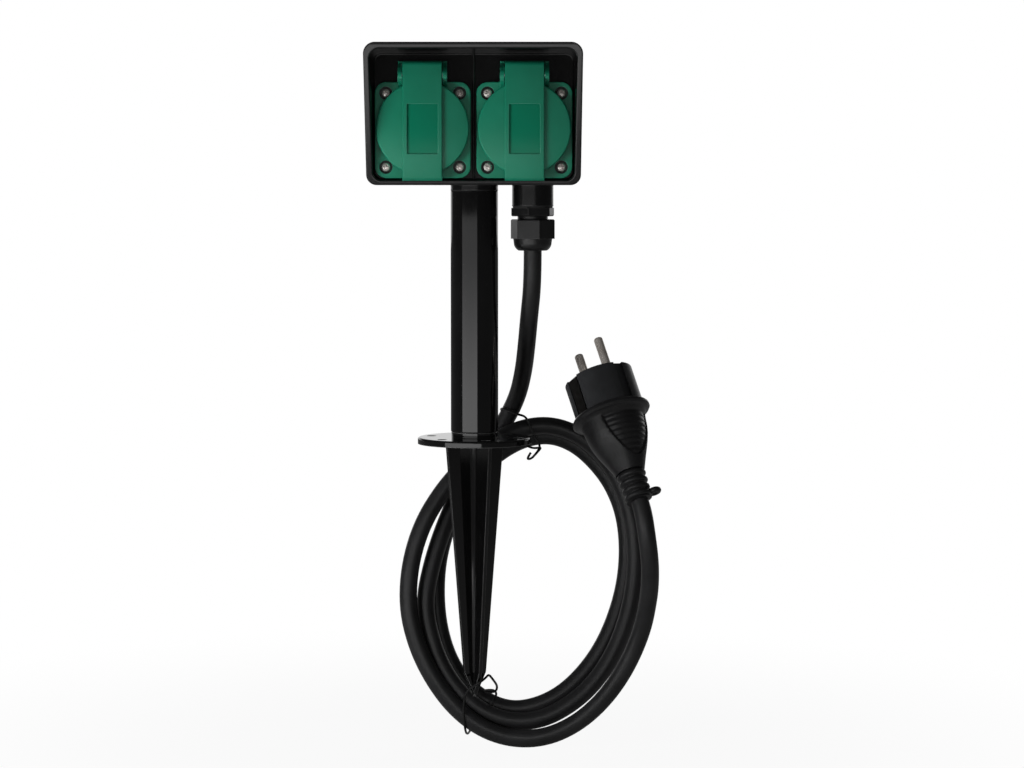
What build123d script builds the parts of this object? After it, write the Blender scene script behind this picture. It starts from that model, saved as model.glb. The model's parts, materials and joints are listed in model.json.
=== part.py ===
"""Garden socket spike: a double outdoor mains socket on a post with a ground spike,
its rubber lead wound into a loose coil behind the spike. Sizes in millimetres.

Origin: centre of the ground disc's underside. +Z runs up the post, the sockets face -Y,
and +X is to the right of someone who faces them.
"""
import os
from math import cos, hypot, pi, radians, sin, sqrt, tan

from build123d import *

os.makedirs("parts", exist_ok=True)

# Ground spike and post
disc_radius = 30.0
disc_thickness = 3.4
disc_edge_round = 1.0
disc_hole_radius = 2.5
disc_hole_circle = 47.5
disc_hole_count = 6
collar_height = 2.8
post_radius = 12.5
post_wall = 2.0
post_length = 127.1
spigot_clearance = 0.1
spigot_length = 25.0
spike_length = 135.4
spike_tip = 13.4
rib_radius_top = 17.1
rib_radius_low = 6.5
rib_thickness = 2.0
rib_edge_round = 0.4
rib_turn = -60.0

# Sockets
well_radius = 19.5
well_wall = 2.0
well_rim = 1.2
well_depth = 17.5
well_floor = 2.5
flange_thickness = 4.0
flange_corner = 6.0
flange_gasket = 1.0
flange_gap = 3.0
screw_inset = 5.75
well_to_screw = 5.37
pin_spacing = 19.0
pin_hole_radius = 2.6
screw_radius = 1.5
screw_head_radius = 2.75
screw_head_height = 2.0
screw_play = 0.1
screw_boss_wall = 2.0
cover_post_wall = 2.5
cover_post_inset = 5.5

# Housing: a straight box with a flared hood round the sockets
housing_corner = 5.0
housing_wall = 2.5
face_plane = 22.0
hood_top_reach = 46.0
hood_bottom_reach = 29.0
hood_flare = 2.6
hood_edge_round = 0.7
hood_edge_chamfer = 0.4
rim_side = 3.6
rim_top = 3.9
rim_bottom = 2.8
recess_flare = 4.3
recess_side_gap = 0.4
recess_foot_gap = 0.45
face_rib_width = 0.8
face_rib_height = 0.6
plinth_height = 3.2
seam_behind_post = 0.5
seam_gasket = 1.0
cover_depth = 9.0

# Hinge and lid
ear_span = 25.3
ear_thickness = 2.2
ear_above_pin = 7.2
ear_above_lid = 10.5
hinge_reach = 3.4
hinge_pin_radius = 1.25
hinge_clearance = 0.05
lid_overlap = 2.5
lid_rise = 1.0
lid_thickness = 2.0
lid_gap = 1.6
lid_skirt = 1.3
strap_width = 20.3
strap_thickness = 1.8
strap_edge_round = 0.4
strap_drop = 1.25
heel_rise = 7.1
window_width = 16.0
window_height = 25.7
window_rise = 0.5
window_depth = 0.8

# Cable gland
gland_x = 30.7
gland_bore_gap = 0.35
thread_wall = 2.9
hex_wall = 2.25
boss_wall = 2.9
boss_length = 11.4
washer_thickness = 0.8
gland_hex_height = 4.4
gland_thread_seen = 1.6
nut_hex_height = 10.2
nut_dome_height = 6.2
gland_body_turn = 18.0
gland_nut_turn = -13.0

# Cable, its coil and its plug
cable_radius = 4.75
loop_centre_x = 30.4
loop_centre_z = -73.2
loop_half_width = 49.1
loop_half_height = 70.4
loop_lean_x = 14.5
loop_lean_z = -11.7
loop_corner_pull = 3.5
loop_spread = 2.16
loop_start = 0.22
loop_end = 2.75
loop_depths = [61.0, 46.8, 37.0, 37.0]
loop_tilt = 30.0
loop_forward_from = 2.4
loop_forward = 30.0
plug_exit = Vector(86.8, -15.0, -29.1)
plug_axis = Vector(-0.285, 0.4285, 0.857).normalized()
plug_pin_line = Vector(0.53, -0.69, 0.5)
plug_length = 73.0
plug_front_radius = 18.5
plug_front_length = 21.0
plug_collar_radius = 21.3
plug_collar_thickness = 3.0
relief_length = 16.6
plug_pin_radius = 2.4
plug_pin_length = 19.0

# Where things come, from the ground up and from the sockets outwards
post_bottom = disc_thickness + collar_height
post_top = post_bottom + post_length
spigot_radius = post_radius - post_wall - spigot_clearance
seam_plane = -post_radius - seam_behind_post
back_plane = seam_plane - cover_depth
spike_shoulder = spike_length - spike_tip
flange_screw_spacing = sqrt(2) * (well_radius + well_wall + well_to_screw)
flange_size = flange_screw_spacing + 2 * screw_inset
socket_spacing = flange_size + flange_gap
recess_width = 2 * flange_size + flange_gap + 2 * recess_side_gap
housing_width = recess_width + 2 * rim_side
housing_bottom = post_top + plinth_height
recess_bottom = housing_bottom + rim_bottom
socket_height = recess_bottom + recess_foot_gap + flange_size / 2
lid_radius = well_radius + well_wall + lid_overlap
lid_height = socket_height + lid_rise
ear_top = lid_height + lid_radius + ear_above_lid
hinge_height = ear_top - ear_above_pin
recess_top = ear_top + rim_top
housing_top = recess_top + rim_top
housing_middle = (housing_bottom + housing_top) / 2
housing_height = housing_top - housing_bottom
strap_bottom = socket_height - flange_size / 2 - strap_drop
window_centre = socket_height + window_rise
gasket_front = face_plane + flange_gasket
flange_front = gasket_front + flange_thickness
rim_front = flange_front + well_rim
floor_front = rim_front - well_depth
floor_back = floor_front - well_floor
hinge_plane = flange_front + hinge_reach
gland_bore = cable_radius + gland_bore_gap
thread_radius = gland_bore + thread_wall
boss_radius = thread_radius + boss_wall
gland_across_flats = 2 * (thread_radius + hex_wall)
boss_bottom = housing_bottom - boss_length
gland_hex_top = boss_bottom - washer_thickness
gland_hex_bottom = gland_hex_top - gland_hex_height
nut_top = gland_hex_bottom - gland_thread_seen
nut_shoulder = nut_top - nut_hex_height
nut_bottom = nut_shoulder - nut_dome_height
screw_pilot = screw_radius + 0.02


def finish(builder, name):
    """Names a finished piece and writes its file."""
    builder.part.label = name
    export_step(builder.part, f"parts/{name}.step")


def front(distance):
    """A drawing plane that faces the user, at this distance in front of the post's axis."""
    return Plane.XZ.offset(distance)


def corner_radii(points, share=0.45, largest=1000.0):
    """As large a bend at each corner of a route as its two runs allow."""
    radii = []
    for before, here, after in zip(points, points[1:], points[2:]):
        run_in, run_out = here - before, after - here
        half_turn = radians(run_in.get_angle(run_out)) / 2
        radii.append(min(largest, share * min(run_in.length, run_out.length) / tan(half_turn)))
    return radii


def tube(points, radius, largest_bend=1000.0):
    """A solid round cord along straight runs joined by tangent arcs, in the part being built."""
    with BuildLine() as route:
        FilletPolyline(*points, radius=corner_radii(points, largest=largest_bend))
    with BuildSketch(Plane(origin=points[0], z_dir=points[1] - points[0])) as section:
        Circle(radius)
    sweep(sections=section.sketch, path=route.wires()[0])
    return route.wires()[0].length


def biarc(start, start_way, end, end_way):
    """Two arcs from one point and direction to another, as one smooth line."""
    across = end - start
    ways = start_way + end_way
    flatness = 2 * (1 - start_way.dot(end_way))
    along = across.dot(ways)
    reach = (sqrt(along**2 + flatness * across.dot(across)) - along) / flatness
    middle = (start + start_way * reach + end - end_way * reach) / 2
    TangentArc(start, middle, tangent=start_way)
    TangentArc(middle, end, tangent=(middle - start - start_way * reach).normalized())


def wound(place, turns):
    """Draws the smooth line through place(turn) at each of these turns, and gives the
    directions of its two ends."""
    def way(turn):
        return (place(turn + 0.001) - place(turn - 0.001)).normalized()

    for here, there in zip(turns, turns[1:]):
        biarc(place(here), way(here), place(there), way(there))
    return way(turns[0]), way(turns[-1])


def loop_place(turn):
    """The middle of the coiled cable after this many turns, which run anticlockwise
    seen from the front, start at the top, and grow as they go."""
    angle = pi / 2 + 2 * pi * turn
    quarter = angle % (2 * pi)
    spread = loop_spread * turn**2 * (1 - 0.22 * cos(angle) - 0.06 * sin(angle))
    pull = loop_corner_pull * sin(2 * angle) ** 2 if pi / 2 < quarter < pi else 0
    x = loop_centre_x + (loop_half_width + spread - pull) * cos(angle) + loop_lean_x * sin(angle)
    z = loop_centre_z + (loop_half_height + spread - pull) * sin(angle) + loop_lean_z * cos(angle)
    whole = min(int(turn), len(loop_depths) - 2)
    part = turn - whole
    y = loop_depths[whole] * (1 - part) + loop_depths[whole + 1] * part
    y -= loop_tilt * (1 - sin(angle)) / 2
    y -= loop_forward * max(0, (turn - loop_forward_from) / 0.4) ** 2
    return Vector(x, y, z)


# Ground spike: disc, collar and spigot for the post, and four tapering ribs
with BuildPart() as ground_spike:
    with BuildSketch():
        Circle(disc_radius)
    extrude(amount=disc_thickness)
    fillet(ground_spike.edges().group_by(Axis.Z)[-1], disc_edge_round)
    with BuildSketch():
        with PolarLocations(disc_hole_circle / 2, disc_hole_count, start_angle=45):
            Circle(disc_hole_radius)
    extrude(amount=disc_thickness, mode=Mode.SUBTRACT)
    with BuildSketch(Plane.XY.offset(disc_thickness)):
        Circle(post_radius - 0.25)
    extrude(amount=post_bottom - disc_thickness)
    with BuildSketch(Plane.XY.offset(post_bottom)):
        Circle(spigot_radius)
    extrude(amount=spigot_length)
    for turn in (radians(rib_turn), radians(rib_turn + 90)):
        rib_plane = Plane(origin=(0, 0, 0), x_dir=(cos(turn), sin(turn), 0), z_dir=(sin(turn), -cos(turn), 0))
        with BuildSketch(rib_plane):
            with BuildLine():
                Polyline(
                    (-rib_radius_top, 0), (rib_radius_top, 0), (rib_radius_low, -spike_shoulder),
                    (0, -spike_length), (-rib_radius_low, -spike_shoulder), close=True)
            make_face()
        extrude(amount=rib_thickness / 2, both=True)
    with BuildSketch(Plane.XY.offset(-spike_shoulder)):
        Circle(rib_thickness)
    with BuildSketch():
        Circle(rib_thickness * 1.6)
    loft()
    outer_edges = [
        edge for edge in ground_spike.edges()
        if spike_shoulder < edge.length < spike_shoulder + 2
        and hypot(edge.center().X, edge.center().Y) > (rib_radius_top + rib_radius_low) / 2 - 1]
    fillet(outer_edges, rib_edge_round)
    with BuildSketch(Plane.XZ.offset(-post_radius)):
        with Locations((0, post_bottom + spigot_length / 2)):
            Circle(screw_pilot)
    extrude(amount=post_wall + 5, mode=Mode.SUBTRACT)
finish(ground_spike, "ground_spike")

# Post: a plain tube with eased ends
with BuildPart() as post_tube:
    with BuildSketch(Plane.XY.offset(post_bottom)):
        Circle(post_radius)
        Circle(post_radius - post_wall, mode=Mode.SUBTRACT)
    extrude(amount=post_top - post_bottom)
    chamfer(post_tube.edges().filter_by(GeomType.CIRCLE).group_by(SortBy.RADIUS)[-1], 0.4)
    for height in (post_bottom + spigot_length / 2, post_top - spigot_length / 2):
        with BuildSketch(Plane.XZ.offset(-post_radius - 1)):
            with Locations((0, height)):
                Circle(screw_radius + screw_play)
        extrude(amount=post_wall + 2, mode=Mode.SUBTRACT)
finish(post_tube, "post_tube")

# Two screws at the back hold the post on the spigots of the spike and of the housing
with BuildPart() as post_screws:
    for height in (post_bottom + spigot_length / 2, post_top - spigot_length / 2):
        with BuildSketch(Plane.XZ.offset(-post_radius)):
            with Locations((0, height)):
                Circle(screw_head_radius)
        extrude(amount=-screw_head_height)
        with BuildSketch(Plane.XZ.offset(-post_radius)):
            with Locations((0, height)):
                Circle(screw_radius)
        extrude(amount=post_wall + 4)
finish(post_screws, "post_screws")

cavity_front = face_plane - housing_wall
socket_places = [("left", -socket_spacing / 2), ("right", socket_spacing / 2)]
corner_posts = [
    (side * (housing_width / 2 - cover_post_inset), height)
    for side in (-1, 1)
    for height in (housing_bottom + cover_post_inset, housing_top - cover_post_inset)
]
boss_back = 9.0


def screw_corners(x):
    """Where the four screws of the socket centred at x go through its flange."""
    half = flange_screw_spacing / 2
    return [(x + i * half, socket_height + j * half) for i in (-1, 1) for j in (-1, 1)]


# Housing front: the box, the face that carries the sockets, and the hood round them
with BuildPart() as housing_front:
    with BuildSketch(front(seam_plane)):
        with Locations((0, housing_middle)):
            RectangleRounded(housing_width, housing_height, housing_corner)
    extrude(amount=face_plane - seam_plane)
    with BuildSketch(front(face_plane)):
        with Locations((0, housing_middle)):
            RectangleRounded(housing_width, housing_height, housing_corner)
    extrude(amount=hood_top_reach - face_plane, taper=-hood_flare)
    with BuildSketch(front(face_plane)):
        with Locations((0, (recess_bottom + recess_top) / 2)):
            RectangleRounded(recess_width, recess_top - recess_bottom, housing_corner - 1)
    extrude(amount=hood_top_reach - face_plane + 1, taper=-recess_flare, mode=Mode.SUBTRACT)
    # The rim slants back from its top edge to its bottom edge
    slant = (hood_top_reach - hood_bottom_reach) / housing_height
    with BuildSketch(Plane.YZ):
        with BuildLine():
            Polyline(
                (-hood_bottom_reach + 5 * slant, housing_bottom - 5),
                (-hood_top_reach - 5 * slant, housing_top + 5),
                (-hood_top_reach - 20, housing_top + 5),
                (-hood_top_reach - 20, housing_bottom - 5), close=True)
        make_face()
    extrude(amount=housing_width, both=True, mode=Mode.SUBTRACT)
    rim = housing_front.faces().filter_by(lambda face: face.inner_wires()).sort_by(Axis.Y)[0]
    fillet(rim.inner_wires()[0].edges(), hood_edge_round)
    rim = housing_front.faces().filter_by(lambda face: face.inner_wires()).sort_by(Axis.Y)[0]
    chamfer(rim.outer_wire().edges(), hood_edge_chamfer)
    # Low rib down the face between the sockets
    with BuildSketch(front(face_plane)):
        with Locations((0, (recess_bottom + recess_top) / 2)):
            Rectangle(face_rib_width, recess_top - recess_bottom)
    extrude(amount=face_rib_height)
    with BuildSketch(front(seam_plane)):
        with Locations((0, housing_middle)):
            RectangleRounded(
                housing_width - 2 * housing_wall, housing_height - 2 * housing_wall,
                housing_corner - housing_wall)
    extrude(amount=cavity_front - seam_plane, mode=Mode.SUBTRACT)
    # Bosses for the socket screws, and posts for the screws of the back
    with BuildSketch(front(boss_back)):
        for side, x in socket_places:
            with Locations(*screw_corners(x)):
                Circle(screw_radius + screw_boss_wall)
    extrude(amount=cavity_front - boss_back)
    with BuildSketch(front(seam_plane)):
        with Locations(*corner_posts):
            Circle(screw_radius + cover_post_wall)
    extrude(amount=cavity_front - seam_plane)
    with BuildSketch(front(boss_back)):
        for side, x in socket_places:
            with Locations((x, socket_height)):
                Circle(well_radius + well_wall + 0.5)
    extrude(amount=face_plane - boss_back, mode=Mode.SUBTRACT)
    with BuildSketch(front(boss_back)):
        for side, x in socket_places:
            with Locations(*screw_corners(x)):
                Circle(screw_pilot)
    extrude(amount=face_plane - boss_back, mode=Mode.SUBTRACT)
    with BuildSketch(front(seam_plane)):
        with Locations(*corner_posts):
            Circle(screw_pilot)
    extrude(amount=14, mode=Mode.SUBTRACT)
    # Socket for the post, and the threaded boss for the cable gland
    with BuildSketch(Plane.XY.offset(post_top)):
        Circle(post_radius)
    extrude(amount=housing_bottom + housing_wall - post_top)
    with BuildSketch(Plane.XY.offset(post_top)):
        Circle(spigot_radius)
    extrude(amount=-spigot_length)
    with BuildSketch(Plane.XY.offset(post_top - spigot_length)):
        Circle(spigot_radius - 2.5)
    extrude(amount=spigot_length - 3, mode=Mode.SUBTRACT)
    with BuildSketch(Plane.XY.offset(boss_bottom)):
        with Locations((gland_x, 0)):
            Circle(boss_radius)
    extrude(amount=housing_bottom + housing_wall - boss_bottom)
    with BuildSketch(Plane.XY.offset(boss_bottom)):
        with Locations((gland_x, 0)):
            Circle(thread_radius + 0.05)
    extrude(amount=housing_bottom + housing_wall - boss_bottom, mode=Mode.SUBTRACT)
    with BuildSketch(Plane.XZ.offset(-spigot_radius - 1)):
        with Locations((0, post_top - spigot_length / 2)):
            Circle(screw_pilot)
    extrude(amount=5, mode=Mode.SUBTRACT)
finish(housing_front, "housing_front")

# Housing back: a shallow cover with a rim, screwed on from behind over a gasket
with BuildPart() as housing_gasket:
    with BuildSketch(front(seam_plane - seam_gasket)):
        with Locations((0, housing_middle)):
            RectangleRounded(housing_width - 0.6, housing_height - 0.6, housing_corner - 0.3)
            RectangleRounded(
                housing_width - 2 * housing_wall, housing_height - 2 * housing_wall,
                housing_corner - housing_wall, mode=Mode.SUBTRACT)
    extrude(amount=seam_gasket)
finish(housing_gasket, "housing_gasket")

back_front = seam_plane - seam_gasket
with BuildPart() as housing_back:
    with BuildSketch(front(back_plane)):
        with Locations((0, housing_middle)):
            RectangleRounded(housing_width, housing_height, housing_corner)
    extrude(amount=back_front - back_plane)
    fillet(housing_back.faces().sort_by(Axis.Y)[-1].edges(), 1.5)
    with BuildSketch(front(back_plane + housing_wall)):
        with Locations((0, housing_middle)):
            RectangleRounded(
                housing_width - 2 * housing_wall, housing_height - 2 * housing_wall,
                housing_corner - housing_wall)
    extrude(amount=back_front - back_plane, mode=Mode.SUBTRACT)
    with BuildSketch(front(back_plane + housing_wall)):
        with Locations(*corner_posts):
            Circle(screw_radius + cover_post_wall)
    extrude(amount=back_front - back_plane - housing_wall)
    with BuildSketch(front(back_plane)):
        with Locations(*corner_posts):
            Circle(screw_radius + screw_play)
    extrude(amount=back_front - back_plane, mode=Mode.SUBTRACT)
    with BuildSketch(front(back_plane)):
        with Locations(*corner_posts):
            Circle(screw_head_radius + 0.4)
    extrude(amount=screw_head_height, mode=Mode.SUBTRACT)
finish(housing_back, "housing_back")

with BuildPart() as housing_screws:
    with BuildSketch(front(back_plane + screw_head_height)):
        with Locations(*corner_posts):
            Circle(screw_head_radius)
    extrude(amount=-screw_head_height)
    with BuildSketch(front(back_plane + screw_head_height)):
        with Locations(*corner_posts):
            Circle(screw_radius)
    extrude(amount=18)
finish(housing_screws, "housing_screws")

lid_front = rim_front + lid_gap + lid_thickness
lid_back = rim_front + lid_gap
strap_front = lid_front + strap_thickness
spring_wire = 0.25
spring_radius = 1.9
spring_width = 8.0
spring_turns = 7
spring_leg = 6.0
spring_pocket = spring_width + 1
strap_top = hinge_height + heel_rise
knuckle_radius = hinge_plane - flange_front - 0.2
slot_bottom = hinge_height - 4.8
clip_width = 4.0
clip_thickness = 1.0
clip_reach = well_radius - 2.2
carrier_back = -9.0
carrier_half_width = 17.0
carrier_half_height = 15.0
sleeve_radius = 3.2
block_half = 3.5
block_length = 6.0


def tongue_outline(x, extra=0.0):
    """The square flange with the tongue above it that carries the hinge."""
    with Locations((x, socket_height)):
        RectangleRounded(flange_size, flange_size, flange_corner)
    with Locations((x, (socket_height + ear_top) / 2)):
        Rectangle(ear_span, ear_top - socket_height)
    with Locations((x, (slot_bottom + ear_top + 1) / 2)):
        Rectangle(
            ear_span - 2 * ear_thickness + 2 * extra, ear_top + 1 - slot_bottom, mode=Mode.SUBTRACT)


for side, x in socket_places:
    # Socket base: flange, well for the plug, and the hinge ears
    with BuildPart() as socket_base:
        with BuildSketch(front(gasket_front)):
            tongue_outline(x)
        extrude(amount=flange_thickness)
        fillet(socket_base.faces().sort_by(Axis.Y)[0].outer_wire().edges(), 0.5)
        with BuildSketch(front(floor_back)):
            with Locations((x, socket_height)):
                Circle(well_radius + well_wall)
        extrude(amount=rim_front - floor_back)
        with BuildSketch(front(floor_front)):
            with Locations((x, socket_height)):
                Circle(well_radius)
        extrude(amount=well_depth, mode=Mode.SUBTRACT)
        # Guide ribs on both sides of the well, which the grooves of a plug slide over
        with BuildSketch(front(floor_front)):
            for way in (-1, 1):
                with Locations((x + way * (well_radius - 0.5), socket_height)):
                    Rectangle(2.2, 4.6)
        extrude(amount=well_depth - 1.5)
        with BuildSketch(front(floor_back)):
            with Locations((x - pin_spacing / 2, socket_height), (x + pin_spacing / 2, socket_height)):
                Circle(pin_hole_radius)
            with Locations((x, socket_height)):
                Circle(screw_radius + screw_play)
            with Locations((x, socket_height - clip_reach), (x, socket_height + clip_reach)):
                Rectangle(clip_width + 0.4, clip_thickness + 0.4)
        extrude(amount=well_floor, mode=Mode.SUBTRACT)
        for way in (-1, 1):
            inner = x + way * (ear_span / 2 - ear_thickness)
            with BuildSketch(Plane.YZ.offset(inner)):
                with BuildLine():
                    Polyline(
                        (-flange_front, slot_bottom - 1.5), (-flange_front, ear_top - 1),
                        (-hinge_plane - 1.2, hinge_height + 3.1),
                        (-hinge_plane - 1.2, hinge_height - 3.1), close=True)
                make_face()
                with Locations((-hinge_plane, hinge_height)):
                    Circle(3.1)
            extrude(amount=way * ear_thickness)
        with BuildSketch(Plane.YZ.offset(x)):
            with Locations((-hinge_plane, hinge_height)):
                Circle(hinge_pin_radius + 0.02)
        extrude(amount=ear_span, both=True, mode=Mode.SUBTRACT)
        with BuildSketch(front(gasket_front)):
            with Locations(*screw_corners(x)):
                Circle(screw_radius + screw_play)
        extrude(amount=flange_thickness, mode=Mode.SUBTRACT)
        with BuildSketch(front(flange_front)):
            with Locations(*screw_corners(x)):
                Circle(screw_head_radius + 0.75)
        extrude(amount=-screw_head_height, mode=Mode.SUBTRACT)
    finish(socket_base, f"{side}_socket_base")

    with BuildPart() as base_gasket:
        with BuildSketch(front(face_plane)):
            tongue_outline(x, extra=0.3)
            with Locations((x, socket_height)):
                Circle(well_radius + well_wall + 0.1, mode=Mode.SUBTRACT)
            with Locations(*screw_corners(x)):
                Circle(screw_radius + screw_play, mode=Mode.SUBTRACT)
        extrude(amount=flange_gasket)
    finish(base_gasket, f"{side}_base_gasket")

    with BuildPart() as flange_screws:
        with BuildSketch(front(flange_front - screw_head_height)):
            with Locations(*screw_corners(x)):
                Circle(screw_head_radius)
        extrude(amount=screw_head_height - 0.3)
        with BuildSketch(front(boss_back + 2)):
            with Locations(*screw_corners(x)):
                Circle(screw_radius)
        extrude(amount=flange_front - screw_head_height - boss_back - 2)
        # Cross recess in each head
        with BuildSketch(front(flange_front - 1.1)):
            for place in screw_corners(x):
                with Locations(place):
                    Rectangle(3, 0.7)
                    Rectangle(0.7, 3)
        extrude(amount=2, mode=Mode.SUBTRACT)
    finish(flange_screws, f"{side}_flange_screws")

    # Hinge pin through both ears and the lid
    with BuildPart() as hinge_pin:
        with BuildSketch(Plane.YZ.offset(x - ear_span / 2)):
            with Locations((-hinge_plane, hinge_height)):
                Circle(hinge_pin_radius)
        extrude(amount=ear_span)
    finish(hinge_pin, f"{side}_hinge_pin")

    # Lid: a round cover with a skirt, a strap across it with a finger tab, and its knuckle
    with BuildPart() as lid:
        with BuildSketch(front(lid_back - lid_skirt)):
            with Locations((x, lid_height)):
                Circle(lid_radius)
        extrude(amount=lid_skirt + lid_thickness)
        fillet(lid.faces().sort_by(Axis.Y)[0].edges(), 0.7)
        with BuildSketch(front(lid_back - lid_skirt)):
            with Locations((x, lid_height)):
                Circle(lid_radius - 1.5)
            with Locations((x, lid_height + lid_radius)):
                Rectangle(spring_pocket + 1, 6)
        extrude(amount=lid_skirt, mode=Mode.SUBTRACT)
        with BuildSketch(Plane.YZ.offset(x - strap_width / 2)):
            with BuildLine():
                Polyline(
                    (-strap_front, strap_top - 2.4), (-strap_front, strap_bottom + 1.2),
                    (-strap_front + 1, strap_bottom), (-strap_front + 3, strap_bottom),
                    (-lid_back - 0.2, lid_height - lid_radius + 1), (-lid_back - 0.2, strap_top - 0.8),
                    (-lid_back - 1.0, strap_top), (-strap_front + 2.4, strap_top))
                ThreePointArc(
                    (-strap_front + 2.4, strap_top), (-strap_front + 0.7, strap_top - 0.7),
                    (-strap_front, strap_top - 2.4))
            make_face()
            with Locations((-hinge_plane, hinge_height)):
                Circle(knuckle_radius)
        extrude(amount=strap_width)
        fillet(lid.edges().filter_by(Axis.Z).sort_by(Axis.Y)[:2], strap_edge_round)
        with BuildSketch(front(strap_front - window_depth)):
            with Locations((x, window_centre)):
                RectangleRounded(window_width, window_height, 0.6)
        extrude(amount=window_depth + 1, mode=Mode.SUBTRACT)
        with BuildSketch(Plane.YZ.offset(x - strap_width / 2)):
            with Locations((-hinge_plane, hinge_height)):
                Circle(hinge_pin_radius + hinge_clearance)
        extrude(amount=strap_width, mode=Mode.SUBTRACT)
        # Pocket for the spring, open to the back so that the lid clears its leg as it opens
        with BuildSketch(Plane.YZ.offset(x - spring_pocket / 2)):
            with Locations((-hinge_plane, hinge_height)):
                Circle(spring_radius + spring_wire + 0.25)
            with Locations((-hinge_plane - 0.6, hinge_height - 2.8)):
                Rectangle(8, heel_rise + 4, align=(Align.MIN, Align.MIN))
        extrude(amount=spring_pocket, mode=Mode.SUBTRACT)
    finish(lid, f"{side}_lid")

    # Rubber ring inside the lid, which closes on the rim of the well
    with BuildPart() as lid_seal:
        with BuildSketch(front(lid_back - lid_skirt)):
            with Locations((x, socket_height)):
                Circle(well_radius + well_wall - 0.2)
                Circle(well_radius - 1, mode=Mode.SUBTRACT)
        extrude(amount=lid_skirt)
    finish(lid_seal, f"{side}_lid_seal")

    # Torsion spring round the pin, with one leg down behind the lid to the flange
    def spring_place(turn, x=x):
        angle = 2 * pi * turn
        return Vector(
            x - spring_width / 2 + spring_width * turn / spring_turns,
            -hinge_plane + spring_radius * cos(angle), hinge_height + spring_radius * sin(angle))

    with BuildPart() as lid_spring:
        with BuildLine() as wire:
            leg_way = wound(spring_place, [k / 2 for k in range(2 * spring_turns + 1)])[0]
            leg_end = spring_place(0) - leg_way * spring_leg
            Line(leg_end, spring_place(0))
        with BuildSketch(Plane(origin=leg_end, z_dir=leg_way)):
            Circle(spring_wire)
        sweep(path=wire.wires()[0])
    finish(lid_spring, f"{side}_lid_spring")

    # Earth clip: a brass strip behind the floor whose two ends stand inside the well
    with BuildPart() as earth_clip:
        with BuildSketch(Plane.YZ.offset(x - clip_width / 2)):
            with BuildLine():
                Polyline(
                    (-floor_back, socket_height - clip_reach - clip_thickness / 2),
                    (-rim_front + 4, socket_height - clip_reach - clip_thickness / 2),
                    (-rim_front + 4, socket_height - clip_reach + clip_thickness / 2),
                    (-floor_back, socket_height - clip_reach + clip_thickness / 2),
                    (-floor_back, socket_height + clip_reach - clip_thickness / 2),
                    (-rim_front + 4, socket_height + clip_reach - clip_thickness / 2),
                    (-rim_front + 4, socket_height + clip_reach + clip_thickness / 2),
                    (-floor_back + clip_thickness, socket_height + clip_reach + clip_thickness / 2),
                    (-floor_back + clip_thickness, socket_height - clip_reach - clip_thickness / 2),
                    close=True)
            make_face()
            # Tail for the earth wire, over the top of the contact carrier
            with Locations((-floor_back + clip_thickness, socket_height + clip_reach - clip_thickness / 2)):
                Rectangle(10, clip_thickness, align=(Align.MIN, Align.MIN))
        extrude(amount=clip_width)
        with BuildSketch(front(floor_back)):
            with Locations((x, socket_height)):
                Circle(screw_radius + screw_play)
        extrude(amount=-clip_thickness, mode=Mode.SUBTRACT)
    finish(earth_clip, f"{side}_earth_clip")

    # Contact carrier behind the floor, with a groove for the clip and bores for the contacts
    with BuildPart() as contact_carrier:
        with BuildSketch(front(carrier_back)):
            with Locations((x, socket_height)):
                RectangleRounded(2 * carrier_half_width, 2 * carrier_half_height, 4)
        extrude(amount=floor_back - carrier_back)
        with BuildSketch(front(floor_back)):
            with Locations((x, socket_height)):
                Rectangle(clip_width + 0.4, 2 * carrier_half_height + 1)
        extrude(amount=-clip_thickness - 0.1, mode=Mode.SUBTRACT)
        with BuildSketch(front(carrier_back)):
            with Locations((x - pin_spacing / 2, socket_height), (x + pin_spacing / 2, socket_height)):
                Circle(sleeve_radius + 0.05)
            with Locations((x, socket_height)):
                Circle(screw_pilot)
        extrude(amount=floor_back - carrier_back, mode=Mode.SUBTRACT)
    finish(contact_carrier, f"{side}_contact_carrier")

    # Brass sleeves for the plug's pins, each with a block for its wire
    with BuildPart() as contacts:
        for place in (x - pin_spacing / 2, x + pin_spacing / 2):
            with BuildSketch(front(carrier_back)):
                with Locations((place, socket_height)):
                    Circle(sleeve_radius)
            extrude(amount=floor_back - carrier_back - 0.5)
            with BuildSketch(front(carrier_back)):
                with Locations((place, socket_height)):
                    Rectangle(2 * block_half, 2 * block_half)
            extrude(amount=-block_length)
            with BuildSketch(front(floor_back)):
                with Locations((place, socket_height)):
                    Circle(pin_hole_radius - 0.15)
            extrude(amount=-15, mode=Mode.SUBTRACT)
            with BuildSketch(Plane.XY.offset(socket_height + block_half)):
                with Locations((place, -carrier_back + block_length / 2)):
                    Circle(screw_radius - 0.2)
            extrude(amount=-block_half, mode=Mode.SUBTRACT)
    finish(contacts, f"{side}_contacts")

    with BuildPart() as terminal_screws:
        for place in (x - pin_spacing / 2, x + pin_spacing / 2):
            with BuildSketch(Plane.XY.offset(socket_height + block_half)):
                with Locations((place, -carrier_back + block_length / 2)):
                    Circle(screw_radius - 0.22)
            extrude(amount=-block_half + 0.5)
            with BuildSketch(Plane.XY.offset(socket_height + block_half)):
                with Locations((place, -carrier_back + block_length / 2)):
                    Circle(screw_head_radius - 0.5)
            extrude(amount=1.5)
    finish(terminal_screws, f"{side}_terminal_screws")

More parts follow.
